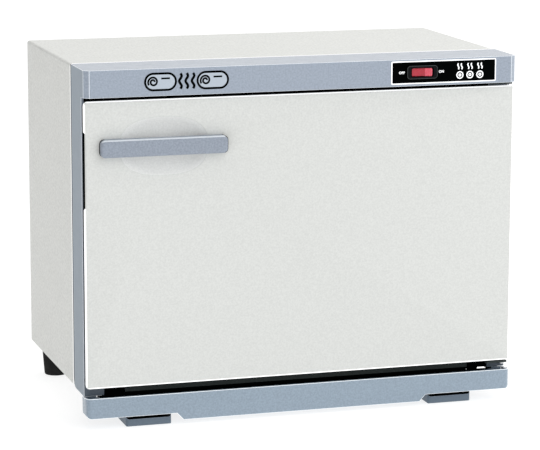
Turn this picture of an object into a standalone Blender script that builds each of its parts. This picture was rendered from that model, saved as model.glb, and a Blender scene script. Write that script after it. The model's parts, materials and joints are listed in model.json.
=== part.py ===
"""Hot towel cabinet, 18 litres, front opening: every physical piece is one named object.

Metres, +Z up. The cabinet faces -Y, and its door is hinged at +X. The origin is on the floor,
under the middle of the whole.
"""

import math

import bmesh
import bpy
from mathutils import Matrix, Vector

# Driving dimensions of the whole
WIDTH = 0.450
DEPTH = 0.278
HEIGHT = 0.360
LEG = 0.0325  # floor to the lower edge of the case
CASE_DEPTH = 0.206
HANDLE_PROUD = 0.064  # handle front to case front
GAP = 0.0003  # between pieces that touch
SHEET = 0.0010
WALL = 0.0025  # moulded plastic

HALF = WIDTH / 2
FRONT = -DEPTH / 2
CASE_FRONT = FRONT + HANDLE_PROUD
CASE_BACK = CASE_FRONT + CASE_DEPTH

# Front frame: planes that face the front, and the mouth of the chamber
FRAME_BACK = CASE_FRONT - 0.0004
JAMB_FRONT = CASE_FRONT - 0.0453
SILL_FRONT = CASE_FRONT - 0.0415
FASCIA_FRONT = CASE_FRONT - 0.0590
FASCIA_LOW = HEIGHT - 0.0270
MOUTH_HALF = 0.190
MOUTH_LOW = LEG + 0.035
MOUTH_HIGH = MOUTH_LOW + 0.250
SILL_TOP = LEG + 0.018
SILL_HALF = 0.207

# Chamber
CHAMBER_DEPTH = 0.190
LINER_BACK = CASE_FRONT + CHAMBER_DEPTH + SHEET
SHELF_Z = MOUTH_LOW + 0.103
SHELF_WIRES = 13
WOOL = 0.009

# Door: layers from the front to the back
DOOR_FRONT = CASE_FRONT - 0.0548
DOOR_SKIN = 0.0020
DOOR_LOW = LEG + 0.0094
DOOR_HIGH = LEG + 0.2973
DOOR_CORNER = 0.004
RING_FRONT = DOOR_FRONT + DOOR_SKIN + GAP
RING_BACK = RING_FRONT + 0.0032
PAN_FRONT = RING_BACK + GAP
PAN_SHEET = 0.0008
GASKET_FRONT = PAN_FRONT + PAN_SHEET + GAP
GASKET_BACK = JAMB_FRONT - GAP
PLUG_HALF = 0.184
PLUG_MARGIN = 0.006
PLUG_BACK = CASE_FRONT - 0.0270

# Joint axes
HINGE = Vector((HALF - 0.006, DOOR_FRONT + 0.0051, 0.0))
PIN_RADIUS = 0.0013
SWITCH = Vector((0.12255, CASE_FRONT - 0.0585, HEIGHT - 0.0130))

# Magnet in the left jamb, and the plate of the switch
MAGNET_LOW = Vector((-0.2158, JAMB_FRONT - 0.0019, 0.1655))
MAGNET_HIGH = Vector((-0.2072, SILL_FRONT + 0.0005, 0.2055))
PLATE_THICK = 0.0006

# Handle and the scoop behind it
HANDLE_X = (-0.2095, -0.0806)
HANDLE_Z = (LEG + 0.2418, LEG + 0.2594)
SCOOP_CENTRE = Vector((-0.1441, DOOR_FRONT, LEG + 0.2503))
SCOOP_HALF = (0.0445, 0.0288)
SCOOP_DEPTH = 0.009
SCOOP_WALL = 0.0016
SCOOP_POWER = 2.5  # of the superellipse, and of the hollow's curve

# Drip tray and feet
TRAY_FRONT = CASE_FRONT - 0.0575
TRAY_BACK = CASE_FRONT - 0.0375
TRAY_END_LOW = LEG - 0.0207
TRAY_MIDDLE_LOW = LEG - 0.0278
TRAY_MIDDLE_HALF = 0.1258
TRAY_WALL = 0.002
FOOT_X = (0.1368, 0.1840)
REAR_FOOT = Vector((0.203, CASE_BACK - 0.021, 0.0))
GLAND = Vector((0.160, CASE_BACK, LEG + 0.030))

FINISHES = {
    "case_paint": ((0.80, 0.80, 0.77), 0.45, 0.0),
    "door_plastic": ((0.78, 0.79, 0.76), 0.50, 0.0),
    "blue_grey_plastic": ((0.36, 0.42, 0.50), 0.45, 0.0),
    "dark_plastic": ((0.05, 0.06, 0.06), 0.50, 0.0),
    "black_plastic": ((0.01, 0.01, 0.01), 0.30, 0.0),
    "red_plastic": ((0.55, 0.02, 0.03), 0.25, 0.0),
    "rubber": ((0.02, 0.02, 0.02), 0.80, 0.0),
    "aluminium": ((0.75, 0.76, 0.77), 0.35, 1.0),
    "steel": ((0.55, 0.56, 0.57), 0.35, 1.0),
    "wool": ((0.75, 0.68, 0.50), 0.95, 0.0),
    "lead": ((0.80, 0.80, 0.78), 0.50, 0.0),
}


def clear_scene():
    for obj in list(bpy.data.objects):
        bpy.data.objects.remove(obj)


def finish(name):
    """The material of this name, made when it is first asked for."""
    found = bpy.data.materials.get(name)
    if found:
        return found
    colour, roughness, metallic = FINISHES[name]
    made = bpy.data.materials.new(name)
    made.use_nodes = True
    shader = made.node_tree.nodes["Principled BSDF"]
    shader.inputs["Base Color"].default_value = (*colour, 1.0)
    shader.inputs["Roughness"].default_value = roughness
    shader.inputs["Metallic"].default_value = metallic
    return made


def add(name, bm, finish_name, place):
    """An object whose mesh was built in world space, with its own origin at place."""
    bmesh.ops.recalc_face_normals(bm, faces=bm.faces)
    bm.transform(Matrix.Translation(-Vector(place)))
    mesh = bpy.data.meshes.new(name)
    bm.to_mesh(mesh)
    bm.free()
    mesh.shade_smooth()
    mesh.set_sharp_from_angle(angle=math.radians(35))
    obj = bpy.data.objects.new(name, mesh)
    obj.location = place
    mesh.materials.append(finish(finish_name))
    bpy.context.scene.collection.objects.link(obj)
    return obj


def along(edge, axis):
    """Whether an edge runs along X, Y or Z (0, 1 or 2)."""
    run = edge.verts[1].co - edge.verts[0].co
    return abs(run[axis]) > 0.999 * run.length


def round_edges(bm, edges, radius, segments):
    bmesh.ops.bevel(bm, geom=edges, offset=radius, segments=segments, profile=0.5, affect="EDGES")


def block_mesh(low, high, axis=None, radius=0.0, segments=3):
    """A box, with the four edges along one axis rounded if a radius is given."""
    bm = bmesh.new()
    bmesh.ops.create_cube(bm, size=1.0)
    low, high = Vector(low), Vector(high)
    size = Matrix.Diagonal((*(high - low), 1.0))
    bm.transform(Matrix.Translation((low + high) / 2) @ size)
    if radius:
        round_edges(bm, [edge for edge in bm.edges if along(edge, axis)], radius, segments)
    return bm


def block(name, low, high, finish_name, axis=None, radius=0.0, segments=3):
    place = (Vector(low) + Vector(high)) / 2
    return add(name, block_mesh(low, high, axis, radius, segments), finish_name, place)


def prism_mesh(outline, axis, start, end):
    """A prism along an axis. Its outline is in the other two axes, in X, Y, Z order."""
    others = [i for i in range(3) if i != axis]
    bm = bmesh.new()
    corners = []
    for u, v in outline:
        corner = [0.0, 0.0, 0.0]
        corner[axis] = start
        corner[others[0]] = u
        corner[others[1]] = v
        corners.append(bm.verts.new(corner))
    face = bm.faces.new(corners)
    sweep = bmesh.ops.extrude_face_region(bm, geom=[face])
    shift = Vector((0.0, 0.0, 0.0))
    shift[axis] = end - start
    moved = [item for item in sweep["geom"] if isinstance(item, bmesh.types.BMVert)]
    bmesh.ops.translate(bm, vec=shift, verts=moved)
    return bm


def prism(name, outline, axis, start, end, finish_name):
    bm = prism_mesh(outline, axis, start, end)
    place = sum((vert.co for vert in bm.verts), Vector()) / len(bm.verts)
    return add(name, bm, finish_name, place)


def turned_mesh(profile, axis, place, steps=24):
    """A turned solid: (radius, distance along the axis from place), first end to last."""
    others = [i for i in range(3) if i != axis]
    bm = bmesh.new()
    rings = []
    for radius, distance in profile:
        ring = []
        for step in range(steps):
            angle = 2 * math.pi * step / steps
            point = Vector(place)
            point[axis] += distance
            point[others[0]] += radius * math.cos(angle)
            point[others[1]] += radius * math.sin(angle)
            ring.append(bm.verts.new(point))
        rings.append(ring)
    for lower, upper in zip(rings, rings[1:]):
        for i in range(steps):
            j = (i + 1) % steps
            bm.faces.new((lower[i], lower[j], upper[j], upper[i]))
    bm.faces.new(rings[0])
    bm.faces.new(rings[-1])
    return bm


def turned(name, profile, axis, place, finish_name, steps=24):
    return add(name, turned_mesh(profile, axis, place, steps), finish_name, place)


def rod(name, radius, axis, start, length, finish_name, steps=12):
    return turned(name, [(radius, 0.0), (radius, length)], axis, start, finish_name, steps)


def arc(centre, radius, first, last, segments):
    """Points of an arc, both ends included, with angles in degrees."""
    points = []
    for i in range(segments + 1):
        angle = math.radians(first + (last - first) * i / segments)
        points.append((centre[0] + radius * math.cos(angle), centre[1] + radius * math.sin(angle)))
    return points


def shape(obj, tool, operation):
    """Cuts the tool from an object, or joins it on. The tool becomes a hidden child."""
    modifier = obj.modifiers.new(tool.name, "BOOLEAN")
    modifier.operation = operation
    modifier.solver = "EXACT"
    modifier.object = tool
    tool.location -= obj.location
    tool.parent = obj
    tool.hide_render = True
    tool.display_type = "WIRE"


def cut(obj, tool):
    shape(obj, tool, "DIFFERENCE")


def join(obj, tool):
    shape(obj, tool, "UNION")


def cut_block(obj, low, high, axis=None, radius=0.0):
    cut(obj, block(f"{obj.name}_cut", low, high, "dark_plastic", axis, radius))


def cut_bore(obj, radius, axis, start, length):
    cut(obj, rod(f"{obj.name}_bore", radius, axis, start, length, "dark_plastic"))


def flat_ring(name, outer, inner, front, back, finish_name, radius=0.0):
    """A flat ring round X = 0. Outer and inner are each half a width, a low and a high edge."""
    half, low, high = outer
    ring = block(name, (-half, front, low), (half, back, high), finish_name, 1, radius)
    half, low, high = inner
    cut_block(ring, (-half, front - 0.01, low), (half, back + 0.01, high), 1, 0.002)
    return ring


def smooth_route(knots, steps):
    """Points of a Catmull-Rom curve through the knots."""
    knots = [Vector(knot) for knot in knots]
    padded = [knots[0] * 2 - knots[1], *knots, knots[-1] * 2 - knots[-2]]
    points = []
    for a, b, c, d in zip(padded, padded[1:], padded[2:], padded[3:]):
        for i in range(steps):
            t = i / steps
            points.append(
                0.5 * (2 * b + (c - a) * t + (2 * a - 5 * b + 4 * c - d) * t**2
                       + (3 * b - a - 3 * c + d) * t**3)
            )
    return [*points, knots[-1]]


def tube(name, points, radius, finish_name, closed=False):
    curve = bpy.data.curves.new(name, "CURVE")
    curve.dimensions = "3D"
    curve.bevel_depth = radius
    curve.bevel_resolution = 2
    curve.use_fill_caps = not closed
    spline = curve.splines.new("POLY")
    spline.points.add(len(points) - 1)
    for spot, point in zip(spline.points, points):
        spot.co = (*point, 1.0)
    spline.use_cyclic_u = closed
    curve.materials.append(finish(finish_name))
    obj = bpy.data.objects.new(name, curve)
    bpy.context.scene.collection.objects.link(obj)
    return obj


def mirrored(outline):
    """The outline with its mirror image across X = 0 added, in one loop."""
    return [*outline, *((-x, z) for x, z in reversed(outline))]


# Case


def outer_case():
    """Top and sides folded from one sheet, with a flange inside each lower edge and at the back."""
    bend, flange = 0.0025, 0.018
    outer = [(-HALF + flange, LEG)]
    outer += arc((-HALF + bend, LEG + bend), bend, 270, 180, 3)
    outer += arc((-HALF + bend, HEIGHT - bend), bend, 180, 90, 4)
    inner = arc((-HALF + bend, HEIGHT - bend), bend - SHEET, 90, 180, 4)
    inner += arc((-HALF + bend, LEG + bend), bend - SHEET, 180, 270, 3)
    inner += [(-HALF + flange, LEG + SHEET)]
    outline = outer + [(-x, z) for x, z in reversed(outer)]
    outline += [(-x, z) for x, z in reversed(inner)] + inner
    case = prism("outer_case", outline, 1, CASE_FRONT, CASE_BACK, "case_paint")
    inset, width = SHEET / 2, 0.013
    join(case, flat_ring("case_back_flange", (HALF - inset, LEG + inset, HEIGHT - inset),
                         (HALF - width, LEG + width, HEIGHT - width),
                         CASE_BACK - 0.0042, CASE_BACK - 0.0032, "case_paint"))
    for x, z in screw_places():
        cut_bore(case, 0.002, 1, (x, CASE_BACK - 0.006, z), 0.004)
    return case


def screw_places():
    return [(side * (HALF - 0.0068), z) for side in (-1, 1) for z in (LEG + 0.040, HEIGHT - 0.040)]


def rear_panel():
    """Flat sheet inside the case's rim, with two columns of air slots and the gland's hole."""
    front, back = CASE_BACK - 0.0029, CASE_BACK - 0.0019
    half, margin = HALF - SHEET - 0.0005, SHEET + 0.0005
    low, high = (-half, front, LEG + margin), (half, back, HEIGHT - margin)
    panel = block("rear_panel", low, high, "case_paint")
    for x, z in screw_places():
        cut_bore(panel, 0.002, 1, (x, front - 0.001, z), 0.003)
    cut_bore(panel, 0.0064, 1, (GLAND.x, front - 0.001, GLAND.z), 0.003)
    for column in (-0.105, 0.035):
        for row in range(5):
            z = LEG + 0.020 + 0.0075 * row
            low, high = (column, front - 0.001, z), (column + 0.070, back + 0.001, z + 0.003)
            cut_block(panel, low, high, 1, 0.0014)
    for number, (x, z) in enumerate(screw_places(), 1):
        place = (x, back + GAP, z)
        profile = [(0.0016, -0.006), (0.0016, 0.0), (0.0034, 0.0), (0.0034, 0.0008), (0.0022, 0.0018)]
        turned(f"rear_screw_{number}", profile, 1, place, "steel", 16)


def base_plate():
    low = LEG + SHEET + GAP
    half, front, back = HALF - 0.0025, CASE_FRONT + 0.0015, CASE_BACK - 0.0048
    plate = block("base_plate", (-half, front, low), (half, back, low + SHEET), "steel")
    for row in range(4):
        x = -0.120 + 0.030 * row
        cut_block(plate, (x, 0.045, low - 0.001), (x + 0.004, 0.095, low + 0.002), 2, 0.0019)


def rear_feet():
    for side, name in ((-1, "left"), (1, "right")):
        place = (side * REAR_FOOT.x, REAR_FOOT.y, 0.0)
        profile = [(0.0120, 0.0), (0.0130, 0.0012), (0.0150, LEG - GAP)]
        turned(f"rear_foot_{name}", profile, 2, place, "rubber", 32)


def front_feet():
    """A heel under the case and a toe that runs forward under the drip tray."""
    toe_front, toe_back, heel_back = CASE_FRONT - 0.0525, TRAY_BACK + 0.003, CASE_FRONT + 0.040
    toe_top, heel_top, round_front = TRAY_END_LOW - GAP, LEG + SHEET, 0.002
    outline = arc((toe_front + round_front, round_front), round_front, 180, 270, 5)
    outline += [(heel_back, 0.0), (heel_back, heel_top), (toe_back, heel_top), (toe_back, toe_top)]
    outline += [(toe_front + 0.004, toe_top), (toe_front, toe_top - 0.004)]
    for side, name in ((-1, "left"), (1, "right")):
        ends = sorted((side * FOOT_X[0], side * FOOT_X[1]))
        bm = prism_mesh(outline, 0, *ends)
        rim = [edge for edge in bm.edges if not along(edge, 0) and max(v.co.z for v in edge.verts) < 0.0025]
        round_edges(bm, rim, 0.0015, 3)
        foot = add(f"front_foot_{name}", bm, "blue_grey_plastic", (sum(ends) / 2, CASE_FRONT, 0.0))
        shape(foot, foot_plan(*ends, toe_front, heel_back), "INTERSECT")


def foot_plan(left, right, front, back):
    """A foot's outline from above, with rounded front corners."""
    corner = 0.0035
    outline = [(left, back + 0.001), *arc((left + corner, front + corner), corner, 180, 270, 4)]
    outline += [*arc((right - corner, front + corner), corner, 270, 360, 4), (right, back + 0.001)]
    return prism("foot_plan", outline, 2, -0.001, LEG + 0.01, "blue_grey_plastic")


def cord_gland():
    panel_back = CASE_BACK - 0.0019
    start = panel_back - 0.012
    profile = [(0.0060, 0.0), (0.0060, 0.012 + GAP), (0.0100, 0.012 + GAP), (0.0100, 0.0150)]
    profile += [(0.0078, 0.0155), (0.0070, DEPTH / 2 - start)]
    gland = turned("cord_gland", profile, 1, (GLAND.x, start, GLAND.z), "black_plastic", 24)
    cut_bore(gland, 0.0035, 1, (GLAND.x, start - 0.001, GLAND.z), 0.030)


# Front frame


def front_frame():
    """One moulding, open at the back: fascia, two jambs, and a sill with a drip lip."""
    round_back = 0.009
    outline = [(JAMB_FRONT, LEG), *arc((FRAME_BACK - round_back, LEG + round_back), round_back, 270, 360, 4)]
    outline += [(FRAME_BACK, HEIGHT), (JAMB_FRONT, HEIGHT)]
    frame = prism("front_frame", outline, 0, -HALF, HALF, "blue_grey_plastic")
    join(frame, fascia())
    cut_block(frame, (-MOUTH_HALF, -0.2, MOUTH_LOW), (MOUTH_HALF, 0.0, MOUTH_HIGH), 1, 0.006)
    cut_block(frame, (-SILL_HALF, -0.2, 0.0), (SILL_HALF, SILL_FRONT, SILL_TOP))
    cut_block(frame, (-SILL_HALF, -0.2, 0.0), (SILL_HALF, 0.0, LEG + 0.004))
    cut_block(frame, (SILL_HALF, -0.2, 0.0), (0.3, SILL_FRONT, FASCIA_LOW))
    join(frame, drip_lip())
    cut(frame, frame_hollow())
    inside = HALF - 0.008
    cut_block(frame, (-inside, FASCIA_FRONT + WALL, FASCIA_LOW + WALL), (inside, -0.110, HEIGHT - WALL))
    cut_block(frame, *switch_window(-0.120))
    pocket_low, pocket_high = MAGNET_LOW - Vector((GAP, GAP, GAP)), MAGNET_HIGH + Vector((GAP, GAP, GAP))
    cut_block(frame, (pocket_low.x, -0.2, pocket_low.z), pocket_high)


def switch_window(back):
    """The hole for the switch housing's body, from in front of everything to this plane."""
    half_length, half_height = 0.0151, 0.0059
    low = (SWITCH.x - half_length, -0.2, SWITCH.z - half_height)
    return low, (SWITCH.x + half_length, back, SWITCH.z + half_height)


def fascia():
    """The part over the door, with its front corners cut off."""
    chamfer_x, chamfer_y = 0.0052, 0.0042
    side = [(-HALF, JAMB_FRONT + 0.010), (-HALF, FASCIA_FRONT + chamfer_y)]
    side += [(-HALF + chamfer_x, FASCIA_FRONT)]
    return prism("fascia", mirrored(side), 2, FASCIA_LOW, HEIGHT, "blue_grey_plastic")


def drip_lip():
    """Thin lip along the sill, with a notch near each end for the tray's hooks."""
    depth, drop, half = 0.0025, 0.001, SILL_HALF + 0.001
    low, high = (-half, SILL_FRONT, LEG - drop), (half, SILL_FRONT + depth, LEG + 0.006)
    lip = block("drip_lip", low, high, "blue_grey_plastic")
    for side in (-1, 1):
        ends = sorted((side * 0.183, side * 0.204))
        cut_block(lip, (ends[0], -0.2, 0.0), (ends[1], 0.0, LEG + 0.0025))
    return lip


def sill_strip():
    """Dark strip along the sill, between the notches."""
    half, thick = 0.1827, 0.0022
    front, back = SILL_FRONT - GAP - thick, SILL_FRONT - GAP
    block("sill_strip", (-half, front, LEG - 0.0004), (half, back, SILL_TOP - 0.0030), "dark_plastic")


def frame_hollow():
    """What is taken out from behind, all round the mouth."""
    low, high = (-HALF + WALL, SILL_FRONT + WALL, LEG + 0.0065), (HALF - WALL, 0.0, HEIGHT - WALL)
    hollow = block("frame_hollow", low, high, "dark_plastic")
    half = MOUTH_HALF + WALL
    cut_block(hollow, (-half, -0.2, MOUTH_LOW - WALL), (half, 0.1, MOUTH_HIGH + WALL), 1, 0.006)
    return hollow


def control_plate():
    back = FASCIA_FRONT - GAP
    low, high = (0.0900, back - PLATE_THICK, HEIGHT - 0.0249), (0.2027, back, HEIGHT - 0.0015)
    plate = block("control_plate", low, high, "black_plastic", 1, 0.0015)
    cut_block(plate, *switch_window(0.0))


def switch_housing():
    flange_back = FASCIA_FRONT - GAP - PLATE_THICK - GAP
    x, z = SWITCH.x, SWITCH.z
    housing = block("switch_housing", (x - 0.01615, flange_back - 0.0018, z - 0.0067),
                    (x + 0.01615, flange_back, z + 0.0067), "black_plastic", 1, 0.003)
    join(housing, block("switch_body", (x - 0.0146, flange_back - 0.0009, z - 0.0055),
                        (x + 0.0146, -0.1125, z + 0.0055), "black_plastic"))
    cut_block(housing, (x - 0.0121, -0.2, z - 0.0048), (x + 0.0121, -0.1160, z + 0.0048))


def rocker():
    """Turns on a vertical axis. At rest its left half, OFF, is pressed in."""
    half_length, half_height, tilt = 0.0112, 0.0044, math.radians(7)
    edge = -0.0022 - half_length * math.tan(tilt)
    outline = [(0.0, -0.0022), (half_length, edge), (0.0095, 0.0060), (0.0, 0.0075)]
    outline += [(-0.0095, 0.0060), (-half_length, edge)]
    bm = prism_mesh(outline, 2, -half_height, half_height)
    bm.transform(Matrix.Translation(SWITCH) @ Matrix.Rotation(-tilt, 4, "Z"))
    add("rocker", bm, "red_plastic", SWITCH)


# Chamber, insulation and electrics


def chamber_liner():
    half, low, high = MOUTH_HALF + SHEET, MOUTH_LOW - SHEET, MOUTH_HIGH + SHEET
    liner = block("chamber_liner", (-half, CASE_FRONT, low), (half, LINER_BACK, high), "aluminium", 1, 0.007)
    rim = 0.008
    rim_low, rim_high = (-half - rim, CASE_FRONT, low - rim), (half + rim, CASE_FRONT + SHEET, high + rim)
    join(liner, block("liner_rim", rim_low, rim_high, "aluminium"))
    inside_low, inside_high = (-MOUTH_HALF, -0.2, MOUTH_LOW), (MOUTH_HALF, LINER_BACK - SHEET, MOUTH_HIGH)
    cut_block(liner, inside_low, inside_high, 1, 0.006)


def insulation():
    inner, top = MOUTH_HALF + SHEET + 0.0005, MOUTH_HIGH + SHEET + 0.0005
    low = MOUTH_LOW + 0.0025
    side = [(-inner - WOOL, low), (-inner - WOOL, top + WOOL)]
    outline = mirrored(side) + [(inner, low), (inner, top), (-inner, top), (-inner, low)]
    prism("insulation_wrap", outline, 1, CASE_FRONT + 0.0015, LINER_BACK - 0.002, "wool")
    back = LINER_BACK + 0.0005
    block("insulation_rear", (-0.185, back, 0.0750), (0.185, back + WOOL, 0.3100), "wool")


def heater():
    top = MOUTH_LOW - SHEET - GAP
    block("heater_plate", (-0.150, -0.050, top - 0.003), (0.150, 0.090, top), "aluminium")
    radius, run, pitch = 0.003, 0.125, 0.033
    z = top - 0.003 - GAP - radius
    points = [Vector((0.165, -0.030, z))]
    for turn in range(3):
        side = -1 if turn % 2 == 0 else 1
        y = -0.030 + pitch * (turn + 0.5)
        bend = arc((side * run, y), pitch / 2, -90, side * 90 - (0 if side > 0 else 180), 8)
        points += [Vector((u, v, z)) for u, v in bend]
    points.append(Vector((-0.165, -0.030 + 3 * pitch, z)))
    tube("heater_element", points, radius, "steel")
    rod("thermal_fuse", 0.0025, 0, (0.0, 0.0200, z), 0.022, "steel", 16)


def thermostat():
    top = MOUTH_LOW - SHEET - GAP
    profile = [(0.0060, -0.0135), (0.0080, -0.0125), (0.0080, -0.0025), (0.0105, -0.0025), (0.0105, 0.0)]
    turned("thermostat", profile, 2, (0.172, 0.035, top), "black_plastic", 20)


def terminal_block():
    low = LEG + 2 * SHEET + 2 * GAP
    body = block("terminal_block", (0.085, 0.095, low), (0.135, 0.113, low + 0.016), "lead", 0, 0.0015)
    for way in range(4):
        cut_bore(body, 0.0022, 2, (0.0925 + 0.0117 * way, 0.104, low + 0.008), 0.010)


def leads():
    """The two leads leave the terminal block, for the heater and for the switch."""
    heating = [(0.100, 0.0944, 0.0440), (0.100, 0.088, 0.0440), (0.060, 0.079, 0.046)]
    heating += [(-0.100, 0.090, 0.050), (-0.175, 0.090, 0.0575), (-0.180, 0.074, 0.0595)]
    heating += [(-0.1658, 0.069, 0.0595)]
    tube("lead_heater", smooth_route(heating, 5), 0.0014, "lead")
    switching = [(0.120, 0.0944, 0.0440), (0.120, 0.080, 0.0440), (0.160, 0.000, 0.041)]
    switching += [(0.207, -0.040, 0.048), (0.2125, -0.050, 0.090), (0.2125, -0.050, 0.280)]
    switching += [(0.2110, -0.060, 0.330), (0.185, -0.088, 0.3440), (0.140, -0.098, SWITCH.z)]
    switching += [(SWITCH.x, -0.106, SWITCH.z), (SWITCH.x, -0.1121, SWITCH.z)]
    tube("lead_switch", smooth_route(switching, 5), 0.0014, "lead")


def shelf_rails():
    """Angles on the chamber's side walls, flange at the top."""
    wall, leg, thick = MOUTH_HALF - GAP, 0.0090, 0.0012
    for side, name in ((-1, "left"), (1, "right")):
        outline = [(wall, SHELF_Z - leg), (wall, SHELF_Z), (wall - leg, SHELF_Z)]
        outline += [(wall - leg, SHELF_Z - thick), (wall - thick, SHELF_Z - thick)]
        outline += [(wall - thick, SHELF_Z - leg)]
        outline = [(side * x, z) for x, z in outline]
        prism(f"shelf_rail_{name}", outline, 1, -0.058, 0.108, "aluminium")


def wire_shelf():
    """Welded from a thick wire loop and thinner wires across it."""
    thick, thin, half, front, back = 0.0020, 0.00125, 0.184, -0.052, 0.104
    z = SHELF_Z + GAP + thick
    low, high = (-half - thick, front - thick, z - thick), (half + thick, back + thick, z + thick)
    shelf = block("wire_shelf", low, high, "steel", 2, 0.010)
    cut_block(shelf, (-half + thick, front + thick, -1.0), (half - thick, back - thick, 1.0), 2, 0.006)
    for wire in range(SHELF_WIRES):
        x = -half + 2 * half * (wire + 1) / (SHELF_WIRES + 1)
        join(shelf, rod("shelf_wire", thin, 1, (x, front, z), back - front, "steel", 8))


# Door


def door():
    pieces = [door_panel(), door_back_frame(), door_inner_panel(), door_gasket(), door_insulation()]
    pieces += [handle_bar(), strike_plate(), *handle_screws()]
    hinge = bpy.data.objects.new("door_hinge", None)
    hinge.location = HINGE
    bpy.context.scene.collection.objects.link(hinge)
    for piece in pieces:
        piece.parent = hinge
        piece.location -= hinge.location


def superellipse(half_x, half_z, steps):
    points = []
    for step in range(steps):
        angle = 2 * math.pi * step / steps
        c, s = math.cos(angle), math.sin(angle)
        power = 2 / SCOOP_POWER
        x, z = half_x * abs(c) ** power, half_z * abs(s) ** power
        points.append((math.copysign(x, c), math.copysign(z, s)))
    return points


def dish(name, wall, start, steps=32, rings=6):
    """A solid dish with its flat side at the depth start. Its outer skin is this wall further out."""
    bm = bmesh.new()
    loops = [[]]
    for ring in range(rings + 1):
        scale = 1.0 - 0.9 * (ring / rings) ** 1.3
        depth = SCOOP_DEPTH * (1 - scale**SCOOP_POWER) + wall
        loop = []
        for x, z in superellipse(SCOOP_HALF[0] * scale + wall, SCOOP_HALF[1] * scale + wall, steps):
            loop.append(bm.verts.new(SCOOP_CENTRE + Vector((x, depth, z))))
        loops.append(loop)
    loops[0] = [bm.verts.new((v.co.x, SCOOP_CENTRE.y + start, v.co.z)) for v in loops[1]]
    for outer, inner in zip(loops, loops[1:]):
        for i in range(steps):
            j = (i + 1) % steps
            bm.faces.new((outer[i], outer[j], inner[j], inner[i]))
    bm.faces.new(loops[0])
    bm.faces.new(loops[-1])
    return add(name, bm, "door_plastic", SCOOP_CENTRE)


def door_panel():
    """White outer moulding with rounded corners, the scoop, and a relief in its free edge."""
    low, high = (-HALF, DOOR_FRONT, DOOR_LOW), (HALF, DOOR_FRONT + DOOR_SKIN, DOOR_HIGH)
    bm = block_mesh(low, high, 1, DOOR_CORNER, 4)
    rim = [edge for edge in bm.edges if all(abs(v.co.y - DOOR_FRONT) < 1e-6 for v in edge.verts)]
    round_edges(bm, rim, 0.0014, 3)
    panel = add("door_panel", bm, "door_plastic", (0.0, DOOR_FRONT, (DOOR_LOW + DOOR_HIGH) / 2))
    join(panel, dish("scoop_outer", SCOOP_WALL, DOOR_SKIN / 2))
    cut(panel, dish("scoop_inner", 0.0, -0.001))
    cut_block(panel, (-0.3, -0.2, LEG + 0.190), (-HALF + 0.0015, 0.0, LEG + 0.267))
    for x in handle_screw_x():
        cut_bore(panel, 0.002, 1, (x, DOOR_FRONT - 0.001, sum(HANDLE_Z) / 2), 0.005)
    return panel


def door_back_frame():
    """Dark ring behind the panel. Its hinge side is thicker and holds the hinge bores."""
    half, low, high = HALF - 0.0025, DOOR_LOW + 0.0025, DOOR_HIGH - 0.0025
    outer, inner = (half, low, high), (half - 0.0285, low + 0.031, high - 0.0135)
    corner = DOOR_CORNER - 0.0015
    ring = flat_ring("door_back_frame", outer, inner, RING_FRONT, RING_BACK, "dark_plastic", corner)
    stile_low, stile_high = (SILL_HALF, RING_FRONT, low + 0.001), (half, RING_FRONT + 0.0063, high - 0.001)
    join(ring, block("hinge_stile", stile_low, stile_high, "dark_plastic"))
    for start in (low - 0.001, high - 0.012):
        cut_bore(ring, PIN_RADIUS + GAP, 2, (HINGE.x, HINGE.y, start), 0.013)
    cut_bore(ring, 0.004, 1, (handle_screw_x()[0], RING_FRONT - 0.001, sum(HANDLE_Z) / 2), 0.006)
    return ring


def door_inner_panel():
    """Drawn pan that faces the chamber, with a flat rim under the gasket."""
    low, high = MOUTH_LOW + PLUG_MARGIN, MOUTH_HIGH - PLUG_MARGIN
    corner = 0.008
    outside = (-PLUG_HALF, PAN_FRONT, low), (PLUG_HALF, PLUG_BACK, high)
    pan = block("door_inner_panel", *outside, "aluminium", 1, corner)
    rim = 0.0115
    rim_low = (-PLUG_HALF - rim, PAN_FRONT, low - rim)
    rim_high = (PLUG_HALF + rim, PAN_FRONT + PAN_SHEET, high + rim)
    join(pan, block("pan_rim", rim_low, rim_high, "aluminium", 1, 0.006))
    half = PLUG_HALF - PAN_SHEET
    inside = (-half, -0.2, low + PAN_SHEET), (half, PLUG_BACK - PAN_SHEET, high - PAN_SHEET)
    cut_block(pan, *inside, 1, corner - PAN_SHEET)
    return pan


def door_gasket():
    """Flat seal on the pan's rim, pressed on the frame round the mouth."""
    outer = (MOUTH_HALF + 0.0135, MOUTH_LOW - 0.0135, MOUTH_HIGH + 0.0095)
    inner = (MOUTH_HALF + 0.0025, MOUTH_LOW - 0.0025, MOUTH_HIGH - 0.0010)
    return flat_ring("door_gasket", outer, inner, GASKET_FRONT, GASKET_BACK, "rubber", 0.009)


def door_insulation():
    low, high = MOUTH_LOW + PLUG_MARGIN + 0.003, MOUTH_HIGH - PLUG_MARGIN - 0.003
    half = PLUG_HALF - 0.003
    ends = (-half, RING_BACK, low), (half, PLUG_BACK - 0.0015, high)
    slab = block("door_insulation", *ends, "wool", 1, 0.006)
    scoop_edge, scoop_low = SCOOP_CENTRE.x + SCOOP_HALF[0] + 0.002, SCOOP_CENTRE.z - SCOOP_HALF[1] - 0.004
    cut_block(slab, (-0.2, -0.2, scoop_low), (scoop_edge, DOOR_FRONT + SCOOP_DEPTH + 0.0030, 0.4))
    return slab


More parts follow.
